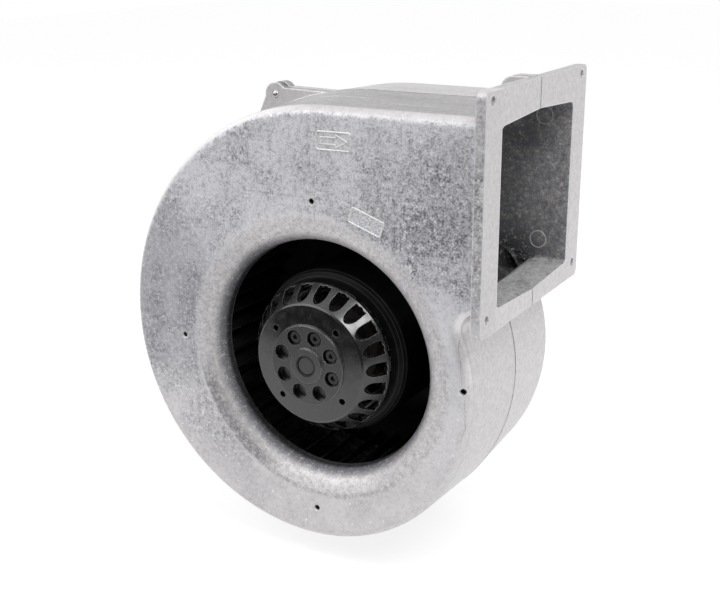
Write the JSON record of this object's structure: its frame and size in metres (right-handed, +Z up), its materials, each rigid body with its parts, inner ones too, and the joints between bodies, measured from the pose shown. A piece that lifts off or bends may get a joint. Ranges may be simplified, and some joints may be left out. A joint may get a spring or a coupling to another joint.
{
  "type": "centrifugal fan",
  "caption": "Single-inlet centrifugal fan: cast scroll casing in two halves, side outlet flange, rolled inlet lip and a forward-curved impeller on an external-rotor motor.",
  "frame": {"origin": "on the fan axis, in the plane of the flat inlet face, at the centre of its tapped holes", "axes": "+X out of the outlet, +Y back along the fan axis from the inlet, +Z up"},
  "size_m": [0.2685, 0.15, 0.3112],
  "materials": {
    "cast_aluminium": "raw die casting, fine mottled skin",
    "zinc_steel": "zinc plated",
    "black_rubber": "matt moulded rubber",
    "turned_steel": "turned",
    "bearing_steel": "ground and polished",
    "lamination_steel": "stacked sheet edges",
    "dark_insulation": "moulded",
    "copper_winding": "enamelled copper wire",
    "cage_aluminium": "cast",
    "black_paint": "satin black paint",
    "black_sheet": "satin black painted sheet"
  },
  "bodies": {
    "housing": {"front_housing": "cast_aluminium", "rear_housing": "cast_aluminium", "motor_flange": "cast_aluminium", "housing_screws": "zinc_steel", "motor_flange_screws": "zinc_steel", "motor_flange_washers": "zinc_steel", "cable_grommet": "black_rubber", "bearing_tube": "turned_steel", "preload_washer": "turned_steel", "tube_retaining_ring": "turned_steel", "front_bearing_outer_race": "bearing_steel", "rear_bearing_outer_race": "bearing_steel", "stator_core": "lamination_steel", "front_end_plate": "dark_insulation", "rear_end_plate": "dark_insulation", "stator_windings": "copper_winding"},
    "rotor": {"shaft": "turned_steel", "front_bearing_inner_race": "bearing_steel", "front_bearing_balls": "bearing_steel", "rear_bearing_inner_race": "bearing_steel", "rear_bearing_balls": "bearing_steel", "shaft_retaining_ring": "turned_steel", "rotor_cup": "black_paint", "rotor_core": "lamination_steel", "rotor_cage": "cage_aluminium", "rotor_end_cap": "black_paint", "hub_screws": "black_paint", "impeller_back_plate": "black_sheet", "impeller_front_ring": "black_sheet", "impeller_blades": "black_sheet", "impeller_screws": "zinc_steel"}
  },
  "joints": [
    {"name": "rotor_spin", "type": "hinge", "parent": "housing", "child": "rotor", "pos_m": [0, 0, 0], "axis": [0, 1, 0], "continuous": true}
  ]
}
